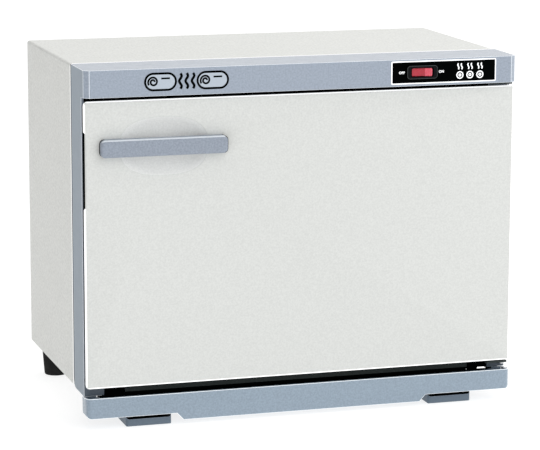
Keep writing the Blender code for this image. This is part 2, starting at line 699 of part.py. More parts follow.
def handle_bar():
    """Bar across the scoop, screwed from behind at both ends."""
    low, high = (HANDLE_X[0], FRONT, HANDLE_Z[0]), (HANDLE_X[1], DOOR_FRONT - GAP, HANDLE_Z[1])
    bm = block_mesh(low, high, 1, 0.0048, 4)
    rim = [edge for edge in bm.edges if all(abs(v.co.y - FRONT) < 1e-6 for v in edge.verts)]
    round_edges(bm, rim, 0.0022, 3)
    middle = (sum(HANDLE_X) / 2, DOOR_FRONT, sum(HANDLE_Z) / 2)
    bar = add("handle_bar", bm, "blue_grey_plastic", middle)
    for x in handle_screw_x():
        cut_bore(bar, 0.0019, 1, (x, DOOR_FRONT - 0.0045, sum(HANDLE_Z) / 2), 0.006)
    return bar


def handle_screw_x():
    return (HANDLE_X[0] + 0.0087, HANDLE_X[1] - 0.0084)


def handle_screws():
    profile = [(0.0016, -0.0060), (0.0016, 0.0), (0.0030, 0.0), (0.0030, 0.0008), (0.0020, 0.0015)]
    place_y, place_z = DOOR_FRONT + DOOR_SKIN + GAP, sum(HANDLE_Z) / 2
    return [
        turned(f"handle_screw_{number}", profile, 1, (x, place_y, place_z), "steel", 16)
        for number, x in enumerate(handle_screw_x(), 1)
    ]


def strike_plate():
    """Steel plate on the door, opposite the magnet."""
    margin = Vector((0.0015, 0.0, 0.004))
    low, high = MAGNET_LOW - margin, MAGNET_HIGH + margin
    low.y, high.y = PAN_FRONT, PAN_FRONT + 0.0012
    return block("strike_plate", low, high, "steel", 1, 0.002)


def magnet_catch():
    block("magnet_catch", MAGNET_LOW, MAGNET_HIGH, "black_plastic")


def hinges():
    """A plate under the fascia and an angle on the sill, each with a pin into the door."""
    reach = HINGE.y - 0.0043
    high = FASCIA_LOW - GAP
    left, right = HINGE.x - 0.0185, HINGE.x + 0.0045
    ends = (left, reach, high - 0.002), (right, JAMB_FRONT - GAP, high)
    upper = block("hinge_plate_upper", *ends, "steel", 2, 0.0015)
    cut_bore(upper, PIN_RADIUS + GAP, 2, (HINGE.x, HINGE.y, high - 0.003), 0.004)
    rod("hinge_pin_upper", PIN_RADIUS, 2, (HINGE.x, HINGE.y, high - 0.0145), 0.0142, "steel", 16)
    low = LEG + 0.0065
    ends = (left, reach, low), (right, SILL_FRONT - GAP, low + 0.0018)
    lower = block("hinge_plate_lower", *ends, "steel", 2, 0.0015)
    tab = (left, SILL_FRONT - 0.002, low), (left + 0.0105, SILL_FRONT - GAP, SILL_TOP - 0.0005)
    join(lower, block("hinge_tab", *tab, "steel"))
    cut_bore(lower, PIN_RADIUS + GAP, 2, (HINGE.x, HINGE.y, low - 0.001), 0.004)
    profile = [(0.0024, -0.0015 - GAP), (0.0024, -GAP), (PIN_RADIUS, -GAP), (PIN_RADIUS, 0.0145)]
    turned("hinge_pin_lower", profile, 2, (HINGE.x, HINGE.y, low), "steel", 16)


# Drip tray


def tray_block(name, inset, top):
    """The trough's block drawn in by an inset: rounded below at its ends and, from above, at its front."""
    below, corner = 0.0045, 0.0050
    side = [(-HALF + inset, top)]
    side += arc((-HALF + below, TRAY_END_LOW + below), below - inset, 180, 270, 4)
    made = prism(name, mirrored(side), 1, TRAY_FRONT + inset, TRAY_BACK - inset, "blue_grey_plastic")
    plan = [(-HALF + inset, TRAY_BACK + 0.001)]
    plan += arc((-HALF + corner, TRAY_FRONT + corner), corner - inset, 180, 270, 4)
    shape(made, prism(f"{name}_plan", mirrored(plan), 2, 0.0, top + 0.001, "blue_grey_plastic"), "INTERSECT")
    return made


def tray_apron():
    """The trough's front wall carried further down between the feet."""
    slope = 0.0067
    side = [(-TRAY_MIDDLE_HALF - slope, TRAY_END_LOW + 0.001), (-TRAY_MIDDLE_HALF - slope, TRAY_END_LOW)]
    side.append((-TRAY_MIDDLE_HALF, TRAY_MIDDLE_LOW))
    return prism("tray_apron", mirrored(side), 1, TRAY_FRONT, TRAY_FRONT + TRAY_WALL, "blue_grey_plastic")


def drip_tray():
    """The rear part of its rim is lower, to pass under the frame and the drip lip."""
    top, under_lip = LEG, SILL_HALF + 0.004
    tray = tray_block("drip_tray", 0.0, top)
    cut(tray, tray_block("tray_hollow", TRAY_WALL, top + 0.010))
    join(tray, tray_apron())
    cut_block(tray, (-0.3, JAMB_FRONT - 0.004, top - 0.0008), (0.3, 0.0, top + 0.01))
    cut_block(tray, (-under_lip, SILL_FRONT - 0.003, top - 0.0025), (under_lip, 0.0, top + 0.01))
    slide = bpy.data.objects.new("tray_slide", None)
    slide.location = (0.0, TRAY_FRONT, LEG)
    bpy.context.scene.collection.objects.link(slide)
    tray.parent = slide
    tray.location -= slide.location


clear_scene()
outer_case()
rear_panel()
base_plate()
rear_feet()
front_feet()
cord_gland()
front_frame()
sill_strip()
control_plate()
switch_housing()
rocker()
chamber_liner()
insulation()
heater()
thermostat()
terminal_block()
leads()
shelf_rails()
wire_shelf()
door()
magnet_catch()
hinges()
drip_tray()
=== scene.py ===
"""Looks of the hot towel cabinet: finer pieces and finishes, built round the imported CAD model.

Metres, +Z up. The cabinet faces -Y, and its door is hinged at +X.
"""

import json
import math

import bmesh
import bpy
from mathutils import Matrix, Quaternion, Vector


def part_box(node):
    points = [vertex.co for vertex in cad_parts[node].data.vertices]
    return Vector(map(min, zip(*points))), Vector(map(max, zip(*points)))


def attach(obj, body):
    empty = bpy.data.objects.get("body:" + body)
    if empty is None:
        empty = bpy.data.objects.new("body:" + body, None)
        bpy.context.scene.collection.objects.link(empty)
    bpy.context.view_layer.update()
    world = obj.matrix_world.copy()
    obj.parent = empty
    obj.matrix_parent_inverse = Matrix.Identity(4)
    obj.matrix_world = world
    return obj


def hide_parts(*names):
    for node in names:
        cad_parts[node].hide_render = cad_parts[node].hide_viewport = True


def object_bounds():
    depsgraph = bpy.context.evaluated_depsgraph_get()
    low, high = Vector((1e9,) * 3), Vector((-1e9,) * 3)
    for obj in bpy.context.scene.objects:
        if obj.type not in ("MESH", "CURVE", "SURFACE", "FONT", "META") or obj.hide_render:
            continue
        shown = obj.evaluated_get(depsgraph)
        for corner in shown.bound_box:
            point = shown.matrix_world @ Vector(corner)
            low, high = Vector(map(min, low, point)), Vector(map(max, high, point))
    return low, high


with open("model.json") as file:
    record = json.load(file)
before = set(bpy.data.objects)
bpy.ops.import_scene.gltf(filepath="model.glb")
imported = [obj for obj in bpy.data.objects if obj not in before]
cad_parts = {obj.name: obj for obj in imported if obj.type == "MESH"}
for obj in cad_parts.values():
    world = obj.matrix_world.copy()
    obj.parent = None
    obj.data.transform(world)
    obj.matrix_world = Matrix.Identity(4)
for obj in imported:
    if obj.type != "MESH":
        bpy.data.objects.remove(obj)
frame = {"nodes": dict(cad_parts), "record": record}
cad_low, cad_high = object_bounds()
NODES = frame["nodes"]

# Camera
LENS = 172.65
DISTANCE = 2.6477
AZIMUTH, ELEVATION, ROLL = math.radians(-17.144), math.radians(10.758), math.radians(0.166)
AIM = Vector((-0.0182, cad_low.y + 0.064, 0.1871))

# Light of the tent: its level, and how much more comes from the right and from above
TENT_LEVEL, TENT_RIGHT, TENT_UP = 0.76, 0.63, 0.31

# Details that the nodes' boxes don't give
SKIN = 0.0020  # of the door's outer panel
SCOOP_OFFSET = Vector((0.00095, 0.0, -0.0003))  # from the handle's middle
SCOOP_HALF = (0.0445, 0.0288)
SCOOP_DEPTH = 0.0075
SCOOP_WALL = 0.0016
SCOOP_POWER = 2.5  # of the scoop's superellipse
DISH_POWER = 3.6  # the higher, the flatter the scoop's floor
NOTCH_DEPTH = 0.0015  # of the relief in the door's free edge
NOTCH_Z = (0.2225, 0.2995)
SILL_TOP = cad_low.z + 0.0505
JAMB_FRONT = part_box("hinge_plate_upper")[1].y  # the face that the door closes on
JOINT_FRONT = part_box("outer_case")[0].y - 0.0030  # of the band of painted shade between frame and case
# The sill strip keeps its own dark grey only in this band; above and below it is painted shade.
STRIP_BAND = (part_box("sill_strip")[0].z + 0.0024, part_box("sill_strip")[0].z + 0.0066)
WELL_BACK = -0.1230  # of the switch's well

LINEN = (0.735, 0.742, 0.712)
DOOR_WHITE = (0.685, 0.698, 0.678)
BLUE_GREY = (0.311, 0.362, 0.440)
# Painted highlight for the rounded edges of the frame and the tray
BLUE_HIGHLIGHT = (0.78, 0.84, 0.88)
SHADED_BLUE = (0.090, 0.115, 0.145)
WHITE = (1.0, 1.0, 1.0, 1.0)


# Shapes


def new_piece(name, mesh, body, made_of, replaced=(), sharp=30):
    """A named piece on its body, shaded smooth except over sharp edges."""
    mesh.shade_smooth()
    mesh.set_sharp_from_angle(angle=math.radians(sharp))
    obj = bpy.data.objects.new(name, mesh)
    bpy.context.scene.collection.objects.link(obj)
    mesh.materials.clear()
    mesh.materials.append(made_of)
    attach(obj, body)
    if replaced:
        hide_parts(*replaced)
    return obj


def rounded_edges(piece, width, segments, degrees):
    """Adds a bevel on edges sharper than this angle."""
    bevel = piece.modifiers.new("rounded_edges", "BEVEL")
    bevel.width = width
    bevel.segments = segments
    bevel.limit_method = "ANGLE"
    bevel.angle_limit = math.radians(degrees)
    return bevel


def mesh_from(bm, name):
    bmesh.ops.recalc_face_normals(bm, faces=bm.faces)
    mesh = bpy.data.meshes.new(name)
    bm.to_mesh(mesh)
    bm.free()
    return mesh


def arc(centre, radius, first, last, segments):
    points = []
    for i in range(segments + 1):
        angle = math.radians(first + (last - first) * i / segments)
        points.append((centre[0] + radius * math.cos(angle), centre[1] + radius * math.sin(angle)))
    return points


def rounded(low, high, radius, segments=6):
    """A function that gives the rounded rectangle drawn in by an inset."""

    def outline(inset):
        r = max(radius - inset, 0.0002)
        left, right = low[0] + inset, high[0] - inset
        bottom, top = low[1] + inset, high[1] - inset
        points = arc((left + r, bottom + r), r, 180, 270, segments)
        points += arc((right - r, bottom + r), r, 270, 360, segments)
        points += arc((right - r, top - r), r, 0, 90, segments)
        points += arc((left + r, top - r), r, 90, 180, segments)
        return points

    return outline


def placed(point, axis, level):
    """A point of an outline at a level along an axis. The outline is in the other two axes."""
    spot = [0.0, 0.0, 0.0]
    spot[axis] = level
    others = [i for i in range(3) if i != axis]
    spot[others[0]], spot[others[1]] = point
    return spot


def bridge(bm, loops, closed=False):
    """Joins each loop to the next, and the last to the first if closed."""
    pairs = list(zip(loops, loops[1:]))
    if closed:
        pairs.append((loops[-1], loops[0]))
    for outer, inner in pairs:
        count = len(outer)
        for i in range(count):
            j = (i + 1) % count
            bm.faces.new((outer[i], outer[j], inner[j], inner[i]))


def skin(bm, loops, closed=False):
    """Joins the loops, and fills the first and the last unless closed."""
    bridge(bm, loops, closed)
    if not closed:
        bm.faces.new(loops[0])
        bm.faces.new(loops[-1])


def stack(outline, levels, axis=1, closed=False):
    """A solid between levels along an axis, each (inset, level). A closed one is a ring."""
    bm = bmesh.new()
    loops = [[bm.verts.new(placed(p, axis, level)) for p in outline(inset)] for inset, level in levels]
    skin(bm, loops, closed)
    return bm


def fillet(start, end, radius, segments=4):
    """Levels of a rounded rim at start, going towards end, from the most drawn in to none."""
    way = 1 if end > start else -1
    levels = []
    for i in range(segments + 1):
        angle = math.pi / 2 * i / segments
        levels.append((radius * (1 - math.sin(angle)), start + way * radius * (1 - math.cos(angle))))
    return levels


def slab_levels(front, back, radius, back_radius=0.0003):
    return fillet(front, back, radius) + fillet(back, front, back_radius, 2)[::-1]


def turned(profile, axis, place, steps=48, ring=False):
    """A profile of (radius, distance along the axis) turned round a line through place.

    A ring has no ends: its profile is closed.
    """
    bm = bmesh.new()
    others = [i for i in range(3) if i != axis]
    loops = []
    for radius, distance in profile:
        loop = []
        for step in range(steps):
            angle = 2 * math.pi * step / steps
            spot = Vector(place)
            spot[axis] += distance
            spot[others[0]] += radius * math.cos(angle)
            spot[others[1]] += radius * math.sin(angle)
            loop.append(bm.verts.new(spot))
        loops.append(loop)
    skin(bm, loops, ring)
    return bm


def between(outer, inner, front, back, radius, deep=None):
    """A plate with a hole, rounded at its front rims. The hole's wall can go on to deep, as a lip."""
    rim = fillet(front, back, radius)
    loops = [(outer, 0.0, back), *[(outer, inset, y) for inset, y in rim[::-1]]]
    loops += [(inner, -inset, y) for inset, y in rim]
    if deep is None:
        loops += [(inner, 0.0, back)]
    else:
        loops += [(inner, 0.0, deep), (inner, -0.0006, deep), (inner, -0.0006, back)]
    bm = bmesh.new()
    made = [[bm.verts.new(placed(p, 1, y)) for p in outline(inset)] for outline, inset, y in loops]
    bridge(bm, made, closed=True)
    return bm


def neighbours(path, i, closed):
    """The points before and after this one. An end of an open path stands in for the one it lacks."""
    before = path[i - 1] if i or closed else path[i]
    after = path[(i + 1) % len(path)] if i < len(path) - 1 or closed else path[i]
    return before, after


def wire(bm, path, radius, closed=False, steps=10):
    """Adds a round wire along a path that lies level."""
    loops = []
    for i, point in enumerate(path):
        before, after = neighbours(path, i, closed)
        side = (after - before).normalized().cross(Vector((0, 0, 1)))
        loop = []
        for step in range(steps):
            angle = 2 * math.pi * step / steps
            out = math.cos(angle) * side + Vector((0, 0, math.sin(angle)))
            loop.append(bm.verts.new(point + radius * out))
        loops.append(loop)
    skin(bm, loops, closed)


def stroke(bm, path, width, front, back, closed=False):
    """Adds a flat line along (x, z) points: ink of print, and the bezel's painted sheen."""
    loops = []
    for i, point in enumerate(path):
        before, after = neighbours(path, i, closed)
        along = (Vector(after) - Vector(before)).normalized()
        side = Vector((-along.y, along.x)) * width / 2
        left, right = Vector(point) + side, Vector(point) - side
        corners = ((left, back), (left, front), (right, front), (right, back))
        loops.append([bm.verts.new((p.x, y, p.y)) for p, y in corners])
    skin(bm, loops, closed)


def refined(cad_node, made_of, width, edge=None, cuts=(), segments=3, angle=28):
    """The CAD node's own shape with every sharp edge rounded.

    The rounded edges have a finish of their own where edge gives one. Each cut is (axis, level):
    faces are split there, so that parts of them can have another finish.
    """
    name = f"{cad_node}_fine"
    source = NODES[cad_node].data
    points = [vertex.co for vertex in source.vertices]
    mesh = bpy.data.meshes.new(name)
    mesh.from_pydata(points, [], [list(polygon.vertices) for polygon in source.polygons])
    bm = bmesh.new()
    bm.from_mesh(mesh)
    bmesh.ops.remove_doubles(bm, verts=bm.verts, dist=2e-5)
    bmesh.ops.dissolve_limit(bm, angle_limit=math.radians(0.5), verts=bm.verts, edges=bm.edges)
    for axis, level in cuts:
        across = [float(i == axis) for i in range(3)]
        place = [level * one for one in across]
        geometry = [*bm.verts, *bm.edges, *bm.faces]
        bmesh.ops.bisect_plane(bm, geom=geometry, plane_co=place, plane_no=across)
    bm.to_mesh(mesh)
    bm.free()
    body, slot = body_of(cad_node), slot_of(cad_node)
    piece = new_piece(name, mesh, body, made_of, (cad_node,), sharp=angle)
    bevel = rounded_edges(piece, width, segments, angle)
    bevel.harden_normals = True
    if edge:
        piece.data.materials.append(edge)
        bevel.material = 1


def body_of(cad_node):
    bodies = frame["record"]["behaviour"]["bodies"]
    return next(body for body, nodes in bodies.items() if cad_node in nodes)


def slot_of(cad_node):
    subparts = frame["record"]["subparts"]
    return next(part["material_slot"] for part in subparts if part["node"] == cad_node)


def shade(piece, finish_name, chosen):
    """Gives a piece a further finish on the faces that are chosen."""
    piece.data.materials.append(FINISHES[finish_name])
    index = len(piece.data.materials) - 1
    for face in piece.data.polygons:
        if chosen(face):
            face.material_index = index


# Finishes


def shader_of(material):
    return material.node_tree.nodes["Principled BSDF"]


def finish(name, colour, roughness, metallic=0.0, coat=0.0, specular=0.5):
    """A new material with plain values, for the functions below to work on."""
    made = bpy.data.materials.new(name)
    made.use_nodes = True
    shader = shader_of(made)
    shader.inputs["Base Color"].default_value = (*colour, 1.0)
    shader.inputs["Roughness"].default_value = roughness
    shader.inputs["Metallic"].default_value = metallic
    shader.inputs["Coat Weight"].default_value = coat
    shader.inputs["Coat Roughness"].default_value = 0.15
    shader.inputs["Specular IOR Level"].default_value = specular
    return made


def node(material, kind, **values):
    made = material.node_tree.nodes.new(kind)
    for key, value in values.items():
        made.inputs[key.replace("_", " ")].default_value = value
    return made


def noise(material, scale, detail=2.0, stretch=(1.0, 1.0, 1.0)):
    """Noise in metres of the object, so a scale of 1000 has features about 1 mm across."""
    links = material.node_tree.links
    spot = node(material, "ShaderNodeTexCoord")
    mapping = node(material, "ShaderNodeMapping", Scale=stretch)
    texture = node(material, "ShaderNodeTexNoise", Scale=scale, Detail=detail, Roughness=0.55)
    links.new(spot.outputs["Object"], mapping.inputs["Vector"])
    links.new(mapping.outputs["Vector"], texture.inputs["Vector"])
    return texture.outputs["Fac"]


def mottle(material, fac, spread):
    """Varies the base colour a little, lighter and darker by this fraction."""
    shader = shader_of(material)
    colour = shader.inputs["Base Color"].default_value[:3]
    ramp = node(material, "ShaderNodeValToRGB")
    for stop, place, gain in zip(ramp.color_ramp.elements, (0.3, 0.7), (1 - spread, 1 + spread)):
        stop.position = place
        stop.color = (*(min(c * gain, 1.0) for c in colour), 1.0)
    material.node_tree.links.new(fac, ramp.inputs["Fac"])
    material.node_tree.links.new(ramp.outputs["Color"], shader.inputs["Base Color"])


def vary_roughness(material, fac, low, high):
    span = node(material, "ShaderNodeMapRange", To_Min=low, To_Max=high, From_Min=0.3, From_Max=0.7)
    links = material.node_tree.links
    links.new(fac, span.inputs["Value"])
    links.new(span.outputs["Result"], shader_of(material).inputs["Roughness"])


def bump(material, fac, strength, distance):
    bump_node = node(material, "ShaderNodeBump", Strength=strength, Distance=distance)
    links = material.node_tree.links
    links.new(fac, bump_node.inputs["Height"])
    links.new(bump_node.outputs["Normal"], shader_of(material).inputs["Normal"])


def glow(material, strength):
    """Adds white light of the material's own."""
    shader = shader_of(material)
    shader.inputs["Emission Color"].default_value = WHITE
    shader.inputs["Emission Strength"].default_value = strength


def enamel():
    """Baked paint on steel: faint orange peel and a fine speckle."""
    made = finish("enamel", LINEN, 0.45, specular=0.3)
    mottle(made, noise(made, 430, 3.0), 0.11)
    vary_roughness(made, noise(made, 60), 0.42, 0.50)
    bump(made, noise(made, 420), 0.10, 0.0004)
    return made


def moulded(name, colour, spread=0.03, roughness=(0.40, 0.50), grain=0.22):
    """Injection-moulded plastic with a spark-eroded grain."""
    made = finish(name, colour, sum(roughness) / 2)
    mottle(made, noise(made, 560, 3.0), spread)
    vary_roughness(made, noise(made, 80), *roughness)
    bump(made, noise(made, 1600, 3.0), grain, 0.0002)
    return made


def metal(name, colour, roughness, stretch):
    """Sheet metal with the fine lines of rolling or brushing along one direction."""
    made = finish(name, colour, roughness, metallic=1.0)
    lines = noise(made, 900, 3.0, stretch)
    mottle(made, lines, 0.05)
    vary_roughness(made, noise(made, 40), roughness - 0.06, roughness + 0.08)
    bump(made, lines, 0.12, 0.0002)
    return made


def wool_felt():
    made = finish("wool_felt", (0.72, 0.63, 0.42), 0.95)
    mottle(made, noise(made, 350, 6.0), 0.16)
    bump(made, noise(made, 500, 5.0), 0.8, 0.0010)
    return made


def red_key_plastic(name, colour):
    """Translucent glossy red, as on a lit rocker switch."""
    made = finish(name, colour, 0.16, coat=0.2)
    shader = shader_of(made)
    shader.inputs["Subsurface Weight"].default_value = 0.25
    shader.inputs["Subsurface Radius"].default_value = (0.004, 0.0008, 0.0006)
    mottle(made, noise(made, 260), 0.08)
    vary_roughness(made, noise(made, 300), 0.12, 0.22)
    return made


FINISHES = {
    "enamel": enamel(),
    "door": moulded("door_plastic", DOOR_WHITE, 0.060, (0.36, 0.44), 0.12),
    # painted light: a lighter copy of the door plastic, which keeps the scoop bright against the handle's
    # shade
    "door_bowl_painted_light": moulded("door_plastic_bowl_painted_light", (0.792, 0.801, 0.785), 0.060, (0.36, 0.44), 0.12),
    # painted highlight: a lighter, glowing white for the door's rim
    "door_rim_highlight": moulded("door_plastic_rim_highlight", (0.90, 0.90, 0.89), 0.010, (0.30, 0.36), 0.05),
    "blue_grey": moulded("blue_grey_plastic", BLUE_GREY, 0.130, (0.38, 0.50), 0.25),
    "grip": moulded("grip_plastic", (0.285, 0.325, 0.390), 0.150, (0.40, 0.50), 0.25),
    # painted highlight for the handle's upper edge
    "grip_painted_highlight": moulded("grip_painted_highlight", (0.66, 0.71, 0.76), 0.030, (0.26, 0.34), 0.08),
    "blue_painted_highlight": moulded("blue_grey_painted_highlight", BLUE_HIGHLIGHT, 0.030, (0.26, 0.34), 0.08),
    "blue_tray": moulded("blue_grey_tray", (0.266, 0.340, 0.418), 0.130, (0.38, 0.50), 0.25),
    # painted shading: the blue-grey toned for the frame's flanks
    "blue_side_painted_shading": moulded("blue_grey_side_painted_shading", (0.333, 0.385, 0.439), 0.045, (0.50, 0.60), 0.25),
    "blue_shade": moulded("blue_grey_shade", SHADED_BLUE, 0.060, (0.50, 0.60)),
    # painted shade: a darker blue-grey for the front feet under the tray
    "blue_foot_painted_shade": moulded("blue_grey_foot_painted_shade", (0.110, 0.150, 0.195), 0.060, (0.42, 0.52)),
    # painted highlight: a lighter enamel that glows, for the case's front edge
    "enamel_painted_highlight": moulded("enamel_painted_highlight", (0.93, 0.93, 0.92), 0.010, (0.30, 0.36), 0.05),
    "dark": moulded("dark_plastic", (0.040, 0.048, 0.047), 0.15, (0.55, 0.65)),
    "black": moulded("black_plastic", (0.006, 0.006, 0.007), 0.20, (0.40, 0.50), 0.10),
    # black for print, and also painted shade: strips and lines put where shade falls
    "ink_and_painted_shade": moulded("black_ink_and_painted_shade", (0.0015, 0.0020, 0.0020), 0.10, (0.55, 0.65), 0.05),
    # painted sheen on the switch bezel's rim
    "bezel_rim_painted_sheen": moulded("bezel_rim_painted_sheen", (0.045, 0.055, 0.055), 0.10, (0.55, 0.65), 0.05),
    "pale_fill": moulded("pale_fill", (0.47, 0.53, 0.60), 0.03, (0.40, 0.50), 0.05),
    # pale print, which also glows as painted light
    "pale_ink_painted_glow": moulded("pale_ink_painted_glow", (0.82, 0.84, 0.86), 0.03, (0.30, 0.40), 0.05),
    "rubber": moulded("black_rubber", (0.018, 0.018, 0.018), 0.20, (0.60, 0.80), 0.5),
    "sheet": metal("rolled_aluminium", (0.80, 0.81, 0.82), 0.34, (0.06, 1.0, 1.0)),
    "steel": metal("zinc_steel", (0.60, 0.61, 0.62), 0.32, (1.0, 0.10, 1.0)),
    "wire": metal("polished_wire", (0.72, 0.73, 0.74), 0.18, (1.0, 1.0, 1.0)),
    "wool": wool_felt(),
    "lead": moulded("lead_sleeve", (0.80, 0.80, 0.78)),
    "red": red_key_plastic("red_key_plastic", (0.46, 0.010, 0.032)),
    # painted highlight for the rocker key's raised end
    "red_painted_highlight": red_key_plastic("red_key_painted_highlight", (0.76, 0.10, 0.15)),
}
GLOSSY = ("blue_grey", "blue_tray", "blue_painted_highlight")
# Painted light: these finishes glow, though none of them is a lamp.
GLOWS = {"door_rim_highlight": 0.55, "enamel_painted_highlight": 0.28, "blue_painted_highlight": 0.40, "pale_ink_painted_glow": 0.50}
SPECULAR = {"blue_side_painted_shading": 0.25, "ink_and_painted_shade": 0.0, "black": 0.06, "dark": 0.06, "rubber": 0.06}

# The finish of each slot of the CAD model
CARRIED = {
    "case_paint": "enamel",
    "door_white": "door",
    "blue_grey": "blue_grey",
    "dark_plastic": "dark",
    "black_plastic": "black",
    "red_key": "red",
    "rubber": "rubber",
    "aluminium": "sheet",
    "steel": "steel",
    "wool": "wool",
    "lead": "lead",
}


def adjust_finishes():
    """Sets the values that only some finishes have."""
    for name in GLOSSY:
        shader_of(FINISHES[name]).inputs["Coat Weight"].default_value = 0.6
    for name, strength in GLOWS.items():
        glow(FINISHES[name], strength)
    for name, level in SPECULAR.items():
        shader_of(FINISHES[name]).inputs["Specular IOR Level"].default_value = level


def finish_nodes():
    """Gives every CAD node the finish of its slot."""
    for name, obj in NODES.items():
        made = FINISHES[CARRIED[slot_of(name)]]
        obj.data.materials.clear()
        obj.data.materials.append(made)


# Camera, stage and light


def camera():
    made = bpy.data.objects.new("camera", bpy.data.cameras.new("camera"))
    back = Vector((math.sin(AZIMUTH), -math.cos(AZIMUTH), math.tan(ELEVATION))).normalized()
    made.rotation_mode = "QUATERNION"
    made.location = AIM + back * DISTANCE
    made.rotation_quaternion = back.to_track_quat("Z", "Y") @ Quaternion((0, 0, 1), ROLL)
    made.data.lens = LENS
    made.data.clip_end = 60
    bpy.context.scene.collection.objects.link(made)
    bpy.context.scene.camera = made


def floor():
    """White paper that lights itself in part, so that it stays white round the object."""
    bm = bmesh.new()
    bmesh.ops.create_grid(bm, x_segments=1, y_segments=1, size=18)
    made = bpy.data.objects.new("floor", mesh_from(bm, "floor"))
    paper = finish("floor_paper", (0.35, 0.35, 0.35), 0.9, specular=0.1)
    mottle(paper, noise(paper, 30), 0.004)
    glow(paper, 0.78)
    made.data.materials.append(paper)
    bpy.context.scene.collection.objects.link(made)


def softbox(name, place, aim, size, power):
    light = bpy.data.lights.new(name, "AREA")
    light.shape = "RECTANGLE"
    light.size, light.size_y = size
    light.energy = power
    made = bpy.data.objects.new(name, light)
    made.location = place
    made.rotation_mode = "QUATERNION"
    made.rotation_quaternion = (Vector(place) - Vector(aim)).to_track_quat("Z", "Y")
    bpy.context.scene.collection.objects.link(made)


def lights():
    """A white tent that is brighter above and to the right, and a soft lamp over the front."""
    world = bpy.data.worlds.new("tent")
    world.use_nodes = True
    nodes, links = world.node_tree.nodes, world.node_tree.links
    spot = nodes.new("ShaderNodeTexCoord")
    slope = nodes.new("ShaderNodeVectorMath")
    slope.operation = "DOT_PRODUCT"
    slope.inputs[1].default_value = (TENT_RIGHT, 0.0, TENT_UP)
    level = nodes.new("ShaderNodeMath")
    level.operation = "ADD"
    level.use_clamp = False
    level.inputs[1].default_value = TENT_LEVEL
    links.new(spot.outputs["Generated"], slope.inputs[0])
    links.new(slope.outputs["Value"], level.inputs[0])
    links.new(level.outputs["Value"], nodes["Background"].inputs["Strength"])
    nodes["Background"].inputs["Color"].default_value = WHITE
    bpy.context.scene.world = world
    bpy.context.scene.view_settings.view_transform = "Standard"
    softbox("key", (0.5, -2.2, 2.2), (0.0, 0.0, 0.18), (1.6, 1.6), 9)


# Case and frame


def case_shell():
    """The folded sheet with fuller bends than the CAD node has, and the same size."""
    low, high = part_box("outer_case")
    bend, flange, sheet = 0.0028, 0.018, 0.0010
    foot_bend, top_bend = (low.x + bend, low.z + bend), (low.x + bend, high.z - bend)
    outer = [(low.x + flange, low.z), *arc(foot_bend, bend, 270, 180, 6)]
    outer += arc(top_bend, bend, 180, 90, 8)
    inner = arc(top_bend, bend - sheet, 90, 180, 8)
    inner += [*arc(foot_bend, bend - sheet, 180, 270, 6), (low.x + flange, low.z + sheet)]
    section = outer + [(-x, z) for x, z in reversed(outer)]
    section += [(-x, z) for x, z in reversed(inner)] + inner
    band = low.y + 0.0024
    mesh = mesh_from(stack(lambda inset: section, [(0, low.y), (0, band), (0, high.y)]), "case_shell")
    slot, replaced = "case_paint", ("outer_case",)
    piece = new_piece("case_shell", mesh, "cabinet", FINISHES["enamel"], replaced)
    bevel = rounded_edges(piece, 0.0004, 2, 50)
    # Painted highlight: the rounded edges and a band along the front edge take a lighter enamel that glows.
    bevel.material = 1
    shade(piece, "enamel_painted_highlight", lambda face: face.center.y < band and abs(face.normal.y) < 0.5)
    case_flange()


def case_flange():
    """The inward fold at the back, which the rear panel is screwed to."""
    low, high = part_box("outer_case")
    margin, front, back, wide = 0.0012, high.y - 0.0042, high.y - 0.0032, 0.012
    ring = rounded((low.x + margin, low.z + margin), (-low.x - margin, high.z - margin), 0.0015)
    bm = stack(ring, [(0, front), (0, back), (wide, back), (wide, front)], closed=True)
    mesh = mesh_from(bm, "case_flange")
    new_piece("case_flange", mesh, "cabinet", FINISHES["enamel"])


def dish_depth(scale):
    """How deep the scoop is at a scaled copy of its rim."""
    return SCOOP_DEPTH * (1 - scale**DISH_POWER)


def scoop_point(angle, half_x, half_z):
    """The superellipse's point in this direction from its middle."""
    c, s = abs(math.cos(angle)), abs(math.sin(angle))
    reach = ((c / half_x) ** SCOOP_POWER + (s / half_z) ** SCOOP_POWER) ** (-1 / SCOOP_POWER)
    return (reach * math.cos(angle), reach * math.sin(angle))


def door_outline(low, high, radius):
    """The door's outline with the relief in its free edge, drawn in by an inset."""
    base = rounded((low.x, low.z), (high.x, high.z), radius)

    def outline(inset):
        points = base(inset)
        side, floor_x = low.x + inset, low.x + NOTCH_DEPTH + inset
        top, bottom = NOTCH_Z[1] - inset, NOTCH_Z[0] + inset
        points += [(side, top), (floor_x, top - NOTCH_DEPTH)]
        points += [(floor_x, bottom + NOTCH_DEPTH), (side, bottom)]
        return points

    return outline


def dense(outline, centre, step=math.radians(3)):
    """A function that gives the outline with more points, none over a step of angle apart from centre."""
    plain = outline(0.0)
    cuts = []
    for (x0, z0), (x1, z1) in zip(plain, plain[1:] + plain[:1]):
        first = math.atan2(z0 - centre.z, x0 - centre.x)
        last = math.atan2(z1 - centre.z, x1 - centre.x)
        turn = abs((last - first + math.pi) % (2 * math.pi) - math.pi)
        cuts.append(max(1, math.ceil(turn / step)))

    def finer(inset):
        points = outline(inset)
        found = []
        for (x0, z0), (x1, z1), parts in zip(points, points[1:] + points[:1], cuts):
            for i in range(parts):
                found.append((x0 + (x1 - x0) * i / parts, z0 + (z1 - z0) * i / parts))
        return found

    return finer


